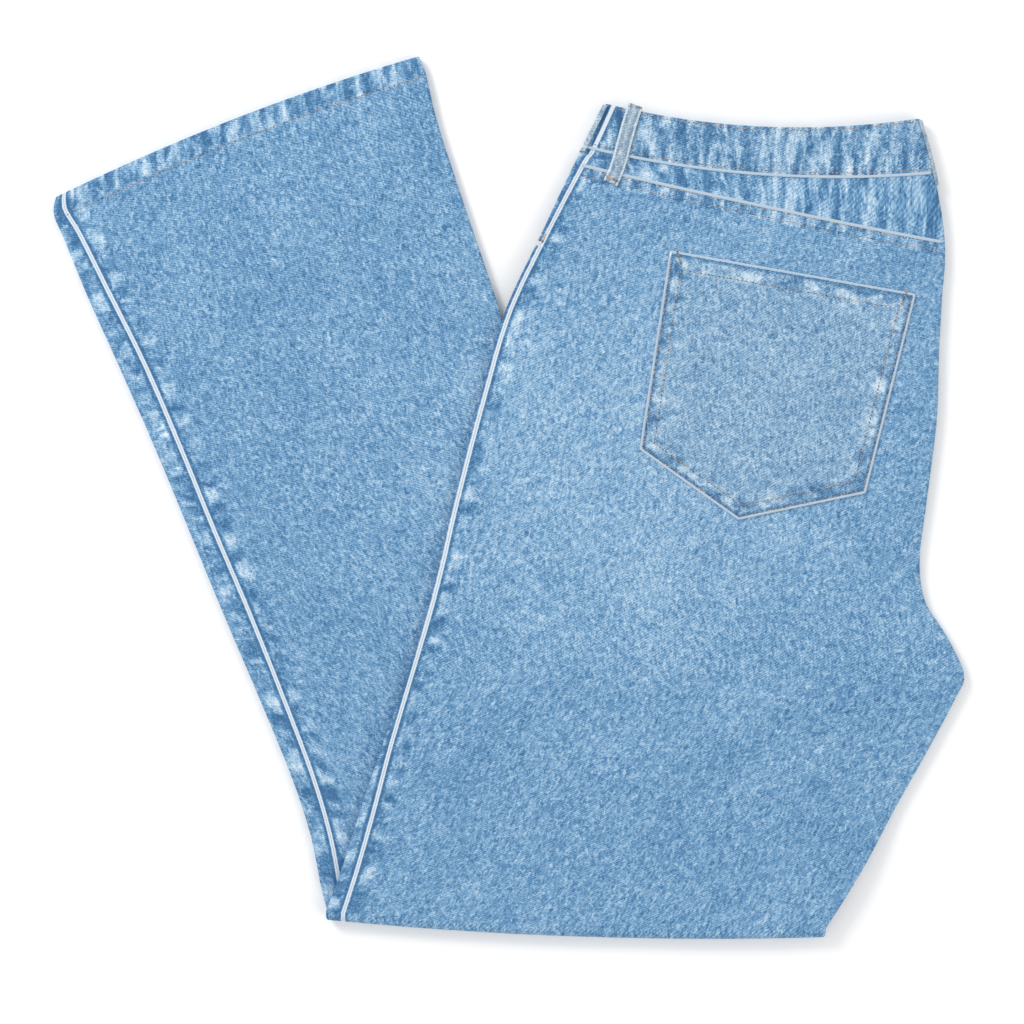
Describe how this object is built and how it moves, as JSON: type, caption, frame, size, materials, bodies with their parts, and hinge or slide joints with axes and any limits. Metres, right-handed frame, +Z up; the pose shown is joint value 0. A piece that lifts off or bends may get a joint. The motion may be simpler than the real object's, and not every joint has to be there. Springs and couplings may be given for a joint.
{
  "type": "flared jeans, folded",
  "caption": "Flared jeans in washed blue denim, folded in half at the centre back and again at the knee, lying flat on a surface.",
  "frame": {"origin": "centre of the folded jeans' underside", "axes": "+Z up from the surface it lies on, +Y towards the waist and the hems, +X from the outseams towards the centre back"},
  "size_m": [0.585, 0.5664, 0.0125],
  "materials": {
    "denim": "stone-washed mid-blue denim, matt, with pale seams",
    "pocket_denim": "the same denim, washed a little paler",
    "loop_denim": "the same denim, faded almost grey"
  },
  "bodies": {
    "root": {"left_back": "denim", "right_back": "denim", "left_front": "denim", "right_front": "denim", "left_yoke": "denim", "right_yoke": "denim", "left_facing": "denim", "right_facing": "denim", "waistband": "denim", "left_back_pocket": "pocket_denim", "right_back_pocket": "pocket_denim", "centre_back_loop": "loop_denim", "side_back_left_loop": "loop_denim", "side_back_right_loop": "loop_denim", "front_left_loop": "loop_denim", "front_right_loop": "loop_denim"}
  },
  "joints": []
}
